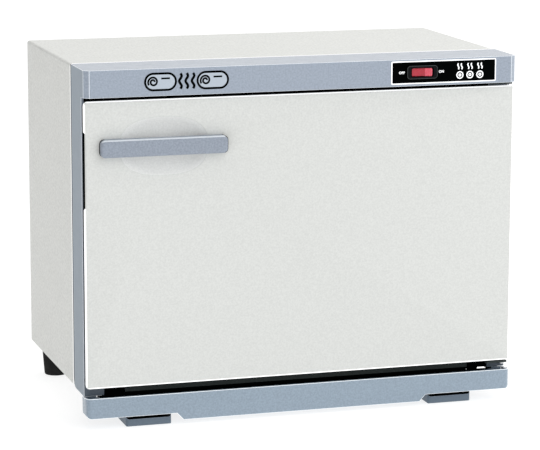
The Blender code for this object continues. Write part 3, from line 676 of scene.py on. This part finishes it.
def door_skin():
    """White outer panel: one clean surface from its rounded rim down into the scoop."""
    low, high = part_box("door_panel")
    front, back = low.y, low.y + SKIN
    handle_low, handle_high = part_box("handle_bar")
    centre = (handle_low + handle_high) / 2 + SCOOP_OFFSET
    top_gap, corner, rim_radius = Vector((0.0, 0.0, 0.0005)), 0.0042, 0.0015
    outline = dense(door_outline(low, high - top_gap, corner), centre)
    angles = [math.atan2(z - centre.z, x - centre.x) for x, z in outline(0.0)]
    bm = bmesh.new()

    def rim(inset, y):
        return [bm.verts.new((x, y, z)) for x, z in outline(inset)]

    def bowl(scale, extra, depth):
        half_x, half_z = (half * scale + extra for half in SCOOP_HALF)
        points = [scoop_point(angle, half_x, half_z) for angle in angles]
        return [bm.verts.new((centre.x + x, front + depth, centre.z + z)) for x, z in points]

    loops = [rim(0.0, back), *[rim(inset, y) for inset, y in fillet(front, back, rim_radius)[::-1]]]
    loops += [bowl(1.0, 0.0012, 0.0), bowl(1.0, 0.0006, 0.0001), bowl(1.0, 0.0001, 0.0004)]
    rings, least = 14, 0.015
    scales = [1 - (1 - least) * (i / rings) ** 1.2 for i in range(1, rings + 1)]
    loops += [bowl(scale, 0.0, dish_depth(scale)) for scale in scales]
    bridge(bm, loops)
    bm.faces.new(loops[-1])
    behind = [bowl(scale, SCOOP_WALL, dish_depth(scale) + SCOOP_WALL) for scale in scales]
    behind = [loops[0], bowl(1.0, SCOOP_WALL, SKIN), *behind]
    bridge(bm, behind)
    bm.faces.new(behind[-1])
    mesh = mesh_from(bm, "door_skin")
    slot, replaced = "door_white", ("door_panel",)
    panel = new_piece("door_skin", mesh, "door", FINISHES["door"], replaced, 45)
    edge = Vector((0.0014, 0.0, 0.0014))
    flat_low, flat_high = low + edge, high - edge

    def on_rim(face):
        x, _, z = face.center
        return not (flat_low.x < x < flat_high.x and flat_low.z < z < flat_high.z)

    def in_scoop(face):
        x, _, z = face.center - centre
        inside = abs(x) < SCOOP_HALF[0] and abs(z) < SCOOP_HALF[1]
        return inside and face.center.y > front + 0.0005 and not on_rim(face)

    # Painted highlight: the rim takes a lighter white that glows.
    shade(panel, "door_rim_highlight", on_rim)
    # Painted light: the scoop takes a lighter copy of the door plastic.
    shade(panel, "door_bowl_painted_light", in_scoop)


def handle():
    """Bar with a crowned front. A black line of painted shade runs round its ends, and its upper edge is
    lighter as a painted highlight.
    """
    low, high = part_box("handle_bar")
    outline = rounded((low.x, low.z), (high.x, high.z), 0.0046, 10)
    rim, seat = 0.0022, high.y - 0.0034
    levels = [(rim + 0.0012, low.y), *fillet(low.y + 0.00002, high.y, rim, 7)]
    levels += [(0.0, seat), (0.0, high.y)]
    mesh = mesh_from(stack(outline, levels), "handle_grip")
    slot, replaced = "blue_grey", ("handle_bar",)
    grip = new_piece("handle_grip", mesh, "door", FINISHES["grip"], replaced, 50)
    scoop = (low.x + high.x) / 2 + SCOOP_OFFSET.x

    def shade_lined(face):
        beside = abs(face.center.x - scoop) > SCOOP_HALF[0]
        far_end = face.normal.x > 0.2 and face.normal.y > -0.75
        return beside and (far_end or face.center.y > seat)

    def lit(face):
        return face.normal.z > 0.45 and face.center.y < low.y + rim and not shade_lined(face)

    # Painted shade round the ends, and a painted highlight along the upper edge.
    shade(grip, "ink_and_painted_shade", shade_lined)
    shade(grip, "grip_painted_highlight", lit)


def black_strip(name, low, high, front, back, radius=0.0003, body="cabinet"):
    """A flat black strip of painted shade from (x, z) low to (x, z) high."""
    bm = stack(rounded(low, high, radius, 3), slab_levels(front, back, 0.0002, 0.0002))
    new_piece(name, mesh_from(bm, name), body, FINISHES["ink_and_painted_shade"])


def gap_shades():
    """Black strips of painted shade on the frame behind the door's upper and free edges."""
    plate_low, plate_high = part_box("hinge_plate_upper")
    ring_low, ring_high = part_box("door_back_frame")
    soft = 0.0008
    top_low = (ring_low.x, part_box("door_gasket")[1].z + 0.0006)
    top_high = (plate_low.x - 0.001, plate_high.z)
    black_strip("top_gap_shade", top_low, top_high, JAMB_FRONT - 0.0018, JAMB_FRONT, soft)
    side_low = (ring_low.x - 0.0016, ring_low.z + 0.004)
    side_high = (ring_low.x + 0.0006, ring_high.z - 0.002)
    black_strip("side_gap_shade", side_low, side_high, JAMB_FRONT - 0.0033, JAMB_FRONT, soft)


def shade_sheets():
    """Black strips of painted shade that close the view under the sill and through its notches, and the
    lugs' caps in dark blue-grey, painted shade too.
    """
    low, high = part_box("sill_strip")
    rim, step, back, thick = low.z - 0.0018, low.z + 0.0010, high.y, 0.0012
    left, right = low.x - 0.0004, high.x + 0.0004
    slot, lug = high.x + 0.0120, high.x + 0.0218
    black_strip("sill_shade_sheet", (low.x - 0.0278, rim), (high.x, low.z), back, back + thick)
    black_strip("lug_shade_sheet", (lug, rim), (lug + 0.0060, step), back - thick, back)
    black_strip("notch_shade_left", (low.x - 0.0220, rim), (left, high.z), back - thick, back)
    black_strip("notch_shade_right", (right, rim), (slot, high.z), back - thick, back)
    black_strip("notch_shade_end", (slot, step), (lug, high.z), back - thick, back)
    for side, width, name in ((-1, 0.0180, "lug_shade_cap_left"), (1, 0.0120, "lug_shade_cap_right")):
        start, end = sorted((side * lug, side * (lug + width)))
        outline = rounded((start, low.z + 0.0008), (end, high.z + 0.0005), 0.0006, 3)
        mesh = mesh_from(stack(outline, slab_levels(JAMB_FRONT, back, 0.0003)), name)
        new_piece(name, mesh, "cabinet", FINISHES["blue_shade"])


def tray_rim_shade():
    """A black lip of painted shade on the tray's rear rim, which passes under the sill strip."""
    strip_low, strip_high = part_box("sill_strip")
    half, top = strip_high.x + 0.0250, strip_low.z - 0.0020
    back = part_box("drip_tray")[1].y + 0.0001
    black_strip("tray_rim_shade", (-half, top - 0.0014), (half, top), back - 0.0025, back, body="tray")


def shade_strip():
    """The sill strip is painted black as shade under the door's lower edge and along its own."""
    piece = bpy.data.objects["sill_strip_fine"]
    shade(piece, "ink_and_painted_shade", lambda face: not STRIP_BAND[0] < face.center.z < STRIP_BAND[1])


def shade_frame():
    """The frame's flanks take a duller copy of the blue-grey, toned for how light falls on them: painted
    shading. A black band of painted shade runs along the joint with the case, and the sill gets painted
    shade.
    """
    piece = bpy.data.objects["front_frame_fine"]

    def flank(face):
        return abs(face.normal.x) > 0.9 and face.center.y < JOINT_FRONT

    def joint(face):
        return abs(face.normal.x) > 0.5 and face.center.y > JOINT_FRONT

    def sill(face):
        low_down = face.center.z < SILL_TOP and face.center.y > JAMB_FRONT - 0.001
        return low_down and abs(face.normal.x) < 0.9

    shade(piece, "blue_side_painted_shading", flank)
    shade(piece, "ink_and_painted_shade", joint)
    shade(piece, "blue_shade", sill)


def shade_feet():
    """The toes' slopes are black, as a shadow line that parts them from the tray."""
    for side in ("left", "right"):
        piece = bpy.data.objects[f"front_foot_{side}_fine"]
        shade(piece, "ink_and_painted_shade", lambda face: face.normal.z > 0.3)


# Control plate and switch


def control_plate():
    """Pale plate with a black face, both with a window for the switch. The pale plate glows as painted
    light.
    """
    low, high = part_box("control_plate")
    switch_low, switch_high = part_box("switch_housing")
    inset = Vector((0.0030, 0.0, 0.0014))
    window_low, window_high = switch_low + inset, switch_high - inset
    window = rounded((window_low.x, window_low.z), (window_high.x, window_high.z), 0.0012)
    outline = rounded((low.x, low.z), (high.x, high.z), 0.0015)
    bm = between(outline, window, low.y + 0.0001, high.y, 0.0002)
    mesh = mesh_from(bm, "plate_base")
    new_piece("plate_base", mesh, "cabinet", FINISHES["pale_ink_painted_glow"], ("control_plate",))
    margin = 0.0012
    outline = rounded((low.x + margin, low.z + margin), (high.x - margin, high.z - margin), 0.0008)
    bm = between(outline, window, low.y - 0.0001, high.y - 0.0002, 0.0001)
    new_piece("plate_face", mesh_from(bm, "plate_face"), "cabinet", FINISHES["ink_and_painted_shade"])


def switch():
    """Bezel with a lip round the well, the well's floor, and the key with a ribbed end in a lighter red, a
    painted highlight.
    """
    low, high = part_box("switch_housing")
    middle = (low + high) / 2
    flange, half_x, half_z = low.y + 0.0018, 0.0119, 0.0046
    outer = rounded((low.x, low.z), (high.x, high.z), 0.0032)
    well_low, well_high = (middle.x - half_x, middle.z - half_z), (middle.x + half_x, middle.z + half_z)
    inner = rounded(well_low, well_high, 0.0016)
    bm = between(outer, inner, low.y, flange, 0.0006, deep=WELL_BACK)
    mesh = mesh_from(bm, "switch_bezel")
    new_piece("switch_bezel", mesh, "cabinet", FINISHES["black"], ("switch_housing",))
    bm = stack(lambda inset: inner(inset - 0.0005), [(0.0, WELL_BACK - 0.0002), (0.0, high.y)])
    new_piece("switch_well", mesh_from(bm, "switch_well"), "cabinet", FINISHES["black"])
    bm = bmesh.new()
    # Painted sheen: a thin grey line round the bezel's rim.
    stroke(bm, outer(0.0003), 0.0004, low.y - 0.00002, low.y + 0.0012, closed=True)
    new_piece("bezel_rim_painted_sheen", mesh_from(bm, "bezel_rim_painted_sheen"), "cabinet", FINISHES["bezel_rim_painted_sheen"])
    switch_key(middle)


def switch_key(middle):
    """Two facets that meet at the axis. The end that stands out has ribs and a lighter red, a painted
    highlight.
    """
    pivot = Vector((middle.x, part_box("switch_housing")[0].y + 0.0036, middle.z))
    half_x, half_z, tilt = 0.0105, 0.0040, math.radians(7)
    crest, slope, raised_from, rise = -0.0022, math.tan(tilt), 0.0032, 0.00024
    front = [(-half_x, crest - half_x * slope), (0.0, crest), (raised_from, crest - raised_from * slope)]
    for rib in range(4):
        start = raised_from + 0.0005 + 0.0016 * rib
        for reach, height in ((0.0, 0.0), (0.0003, rise), (0.0008, rise), (0.0011, 0.0)):
            front.append((start + reach, crest - (start + reach) * slope - height))
    front.append((half_x, crest - half_x * slope))
    outline = front + [(0.0092, 0.0058), (-0.0092, 0.0058)]
    turn = Matrix.Rotation(-tilt, 3, "Z")
    bm = bmesh.new()
    loops = []
    for inset, z in fillet(-half_z, half_z, 0.0014, 4) + fillet(half_z, -half_z, 0.0014, 4)[::-1]:
        loop = []
        for x, y in outline:
            spot = turn @ Vector((x * (1 - inset / half_x), y + inset * 0.3, z))
            loop.append(bm.verts.new(pivot + spot))
        loops.append(loop)
    skin(bm, loops)
    mesh = mesh_from(bm, "switch_key")
    key = new_piece("switch_key", mesh, "switch_key", FINISHES["red"], ("rocker",))
    # Painted highlight: the raised end takes a lighter red.
    lens = pivot.x + raised_from - 0.0002
    shade(key, "red_painted_highlight", lambda face: len(face.vertices) == 4 and face.center.x > lens)


def lettering(name, word, along):
    """A word on the control plate's middle line, centred this far along it."""
    low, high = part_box("control_plate")
    text = bpy.data.curves.new(name, "FONT")
    text.body = word
    text.size = 0.0034
    text.extrude = 0.00006
    text.offset = 0.00011
    text.space_character = 1.06
    text.align_x = "CENTER"
    text.align_y = "CENTER"
    text.materials.append(FINISHES["pale_ink_painted_glow"])
    made = bpy.data.objects.new(name, text)
    made.location = (low.x + along, low.y - 0.00012, (low.z + high.z) / 2)
    made.rotation_euler = (math.pi / 2, 0.0, 0.0)
    bpy.context.scene.collection.objects.link(made)
    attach(made, "cabinet")


def wave(x, low, high, swing, turns=1.0, steps=20):
    """Points of a steam line, bottom to top."""
    points = []
    for i in range(steps + 1):
        angle = 2 * math.pi * turns * i / steps
        points.append((x + swing * math.sin(angle), low + (high - low) * i / steps))
    return points


def spiral(centre, radius, turns=1.6, steps=30):
    points = []
    for i in range(steps + 1):
        angle = 2 * math.pi * turns * i / steps
        reach = radius * (0.25 + 0.75 * i / steps)
        points.append((centre[0] + reach * math.cos(angle), centre[1] + reach * math.sin(angle)))
    return points


def circle(centre, radius, steps=28):
    return arc(centre, radius, 0, 360 * (steps - 1) / steps, steps - 1)


def plate_mark():
    """White sign at the plate's right: steam over three rolled towels."""
    low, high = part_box("control_plate")
    front, back = low.y - 0.0002, low.y
    middle = (low.z + high.z) / 2
    bm = bmesh.new()
    for number in range(3):
        x = low.x + 0.0735 + 0.0108 * number
        roll = (x, middle - 0.0042)
        stroke(bm, circle(roll, 0.0033), 0.0011, front, back, closed=True)
        stroke(bm, circle(roll, 0.0011), 0.0010, front, back, closed=True)
        for side in (-0.0018, 0.0018):
            steam = wave(x + side, middle + 0.0016, middle + 0.0076, 0.0006)
            stroke(bm, steam, 0.0012, front, back)
    new_piece("plate_mark", mesh_from(bm, "plate_mark"), "cabinet", FINISHES["pale_ink_painted_glow"])


def fascia_mark():
    """Black outlines over the handle: two rolled towels with steam between them."""
    low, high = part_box("front_frame")
    front, back = low.y - 0.00010, low.y + 0.0001
    left, bottom, top = -0.1640, high.z - 0.0212, high.z - 0.0050
    middle, radius = (bottom + top) / 2, (top - bottom) / 2
    length, width = 0.0310, 0.0021
    bm, fill = bmesh.new(), bmesh.new()
    for start in (left, left + 0.0840 - length):
        outline = rounded((start, bottom), (start + length, top), radius, 10)
        stroke(bm, outline(0.0), width, front, back, closed=True)
        loops = []
        for y in (front + 0.00005, back):
            loops.append([fill.verts.new((x, y, z)) for x, z in outline(0.0002)])
        skin(fill, loops)
        stroke(bm, spiral((start + radius, middle), radius * 0.66), width * 0.9, front, back)
        line = middle + 0.0032
        stroke(bm, [(start + 2 * radius, line), (start + length - 0.0060, line)], width * 0.8, front, back)
    for number in range(3):
        x = left + 0.0420 + 0.0064 * (number - 1)
        stroke(bm, wave(x, bottom + 0.0005, top - 0.0005, 0.0012, 1.5, 30), width * 1.2, front, back)
    new_piece("fascia_mark", mesh_from(bm, "fascia_mark"), "cabinet", FINISHES["ink_and_painted_shade"])
    new_piece("fascia_fill", mesh_from(fill, "fascia_fill"), "cabinet", FINISHES["pale_fill"])


# Chamber, shelf and the door's inner side


def shelf():
    """A loop of thick wire with thin wires across it, front to back."""
    low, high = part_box("wire_shelf")
    thick = (high.z - low.z) / 2
    level, thin, wires = (low.z + high.z) / 2, 0.00125, 13
    left, right = low.x + thick, high.x - thick
    front, back = low.y + thick, high.y - thick
    bm = bmesh.new()
    loop = rounded((left, front), (right, back), 0.010, 8)(0.0)
    wire(bm, [Vector((x, y, level)) for x, y in loop], thick, closed=True, steps=14)
    for number in range(1, wires + 1):
        x = left + (right - left) * number / (wires + 1)
        wire(bm, [Vector((x, front, level)), Vector((x, back, level))], thin)
    mesh = mesh_from(bm, "shelf_wires")
    new_piece("shelf_wires", mesh, "shelf", FINISHES["wire"], ("wire_shelf",), sharp=50)


def pan():
    """Drawn aluminium pan with soft corners and a flat rim."""
    low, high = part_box("door_inner_panel")
    rim, sheet, soft = 0.0115, 0.0008, 0.0045
    outer = rounded((low.x, low.z), (high.x, high.z), 0.012, 8)
    face = low.y + sheet
    turn = fillet(high.y, face, soft, 6)
    levels = [(0.0, low.y), (0.0, face), (rim - 0.0015, face)]
    levels += [(rim - 0.0004, face + 0.0004), (rim, face + 0.0015)]
    levels += [(rim + inset, y) for inset, y in turn[::-1]]
    bm = bmesh.new()
    loops = [[bm.verts.new(placed(p, 1, y)) for p in outer(inset)] for inset, y in levels]
    inside = [(rim + sheet + inset, y - sheet) for inset, y in turn]
    inside.append((rim + sheet, low.y))
    back = [[bm.verts.new(placed(p, 1, y)) for p in outer(inset)] for inset, y in inside]
    bridge(bm, loops)
    bm.faces.new(loops[-1])
    bridge(bm, back)
    bm.faces.new(back[0])
    bridge(bm, [back[-1], loops[0]])
    mesh = mesh_from(bm, "door_pan")
    new_piece("door_pan", mesh, "door", FINISHES["sheet"], ("door_inner_panel",), sharp=50)


def gasket():
    """Soft seal with two rounded ribs towards the frame."""
    low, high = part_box("door_gasket")
    outline = rounded((low.x, low.z), (high.x, high.z), 0.0100, 10)
    band, crest, shoulder, root = 0.0100, high.y, high.y - 0.0002, high.y - 0.0008
    levels = [(0.0, low.y), (0.0, root), (0.0006, shoulder), (0.0014, crest), (0.0030, crest)]
    levels += [(0.0038, shoulder), (0.0044, root), (0.0056, root)]
    levels += [(band - 0.0038, shoulder), (band - 0.0030, crest), (band - 0.0014, crest)]
    levels += [(band - 0.0006, shoulder), (band, root), (band, low.y)]
    bm = stack(outline, levels, closed=True)
    mesh = mesh_from(bm, "door_seal")
    new_piece("door_seal", mesh, "door", FINISHES["rubber"], ("door_gasket",), sharp=60)


# Back and underside


def rear_feet():
    """Round rubber feet that widen upwards, with soft rims."""
    for side in ("left", "right"):
        node_name = f"rear_foot_{side}"
        low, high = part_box(node_name)
        middle = (low + high) / 2
        tall = high.z - low.z
        profile = [(0.0108, 0.0), (0.0117, 0.0002), (0.0122, 0.0009), (0.0124, 0.0020)]
        profile += [(0.0134, tall * 0.45), (0.0146, tall * 0.90)]
        profile += [(0.0149, tall - 0.0012), (0.0146, tall - 0.0003), (0.0138, tall)]
        bm = turned(profile, 2, (middle.x, middle.y, low.z))
        name = f"{node_name}_fine"
        new_piece(name, mesh_from(bm, name), "cabinet", FINISHES["rubber"], (node_name,))


def gland():
    """Bush with an open bore for the cord, rounded flange outside."""
    low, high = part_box("cord_gland")
    middle = (low + high) / 2
    long = high.y - low.y
    outer = [(0.0060, 0.0), (0.0060, 0.0124), (0.0096, 0.0124), (0.0100, 0.0129), (0.0100, 0.0144)]
    outer += [(0.0094, 0.0151), (0.0079, 0.0156), (0.0074, 0.0180), (0.0072, long - 0.0010), (0.0066, long)]
    inner = [(0.0044, long), (0.0036, long - 0.0010), (0.0035, long - 0.0030), (0.0035, 0.0)]
    bm = turned(outer + inner, 1, (middle.x, low.y, middle.z), ring=True)
    mesh = mesh_from(bm, "gland_bush")
    new_piece("gland_bush", mesh, "cabinet", FINISHES["black"], ("cord_gland",))


def rear_screws():
    """Domed heads with a cross recess."""
    for number in range(1, 5):
        node_name = f"rear_screw_{number}"
        low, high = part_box(node_name)
        middle = (low + high) / 2
        long = high.y - low.y
        profile = [(0.0016, 0.0), (0.0016, 0.0060), (0.0034, 0.0060), (0.0034, 0.0065)]
        profile += [(0.0031, 0.0070), (0.0024, 0.0075), (0.0013, long), (0.0001, long)]
        name = f"{node_name}_fine"
        mesh = mesh_from(turned(profile, 1, (middle.x, low.y, middle.z), 32), name)
        screw = new_piece(name, mesh, "cabinet", FINISHES["steel"], (node_name,))
        carve_cross(screw, Vector((middle.x, high.y, middle.z)))


def carve_cross(piece, tip):
    """Cuts the recess with two boxes, and keeps the cut mesh."""
    long, thin, deep = 0.0036, 0.0007, 0.0020
    for size in ((long, deep, thin, 1.0), (thin, deep, long, 1.0)):
        bm = bmesh.new()
        bmesh.ops.create_cube(bm, size=1.0)
        bm.transform(Matrix.Translation(tip) @ Matrix.Diagonal(size))
        tool = bpy.data.objects.new("recess_tool", mesh_from(bm, "recess_tool"))
        bpy.context.scene.collection.objects.link(tool)
        boolean = piece.modifiers.new("recess", "BOOLEAN")
        boolean.operation = "DIFFERENCE"
        boolean.object = tool
        bpy.context.view_layer.update()
        cut = piece.evaluated_get(bpy.context.evaluated_depsgraph_get())
        carved = bpy.data.meshes.new_from_object(cut)
        piece.modifiers.clear()
        piece.data = carved
        bpy.data.objects.remove(tool)


# Where faces of a node are split: (axis, level)
CUTS = {
    "front_frame": ((1, JOINT_FRONT), (2, SILL_TOP + 0.0002)),
    "sill_strip": ((2, STRIP_BAND[0]), (2, STRIP_BAND[1])),
}
# Nodes whose edges are rounded: finish, radius, and the finish of the rounded edges. The frame's and the
# tray's rounded edges are a lighter, glowing painted highlight.
FINE_EDGES = (
    ("front_frame", "blue_grey", 0.0008, "blue_painted_highlight"),
    ("drip_tray", "blue_tray", 0.0007, "blue_painted_highlight"),
    # The front feet take a darker blue-grey as painted shade; their rounded edges keep the plain blue-grey.
    ("front_foot_left", "blue_foot_painted_shade", 0.0007, "blue_grey"),
    ("front_foot_right", "blue_foot_painted_shade", 0.0007, "blue_grey"),
    ("sill_strip", "dark", 0.0004, None),
    ("door_back_frame", "black", 0.0005, None),
    ("magnet_catch", "black", 0.0005, None),
    ("strike_plate", "steel", 0.0002, None),
    # The hinge plates are steel; their dark plastic finish is painted shade under the fascia and the door.
    ("hinge_plate_upper", "dark", 0.0003, None),
    ("hinge_plate_lower", "dark", 0.0003, None),
    ("shelf_rail_left", "sheet", 0.0003, None),
    ("shelf_rail_right", "sheet", 0.0003, None),
    ("base_plate", "steel", 0.0002, None),
)


adjust_finishes()
finish_nodes()
camera()
floor()
lights()
case_shell()
for fine_node, look, radius, edge_look in FINE_EDGES:
    refined(fine_node, FINISHES[look], radius, FINISHES.get(edge_look), CUTS.get(fine_node, ()))
shade_frame()
shade_strip()
shade_feet()
door_skin()
handle()
gap_shades()
shade_sheets()
tray_rim_shade()
control_plate()
switch()
lettering("mark_off", "OFF", 0.0112)
lettering("mark_on", "ON", 0.0535)
plate_mark()
fascia_mark()
shelf()
pan()
gasket()
rear_feet()
gland()
rear_screws()
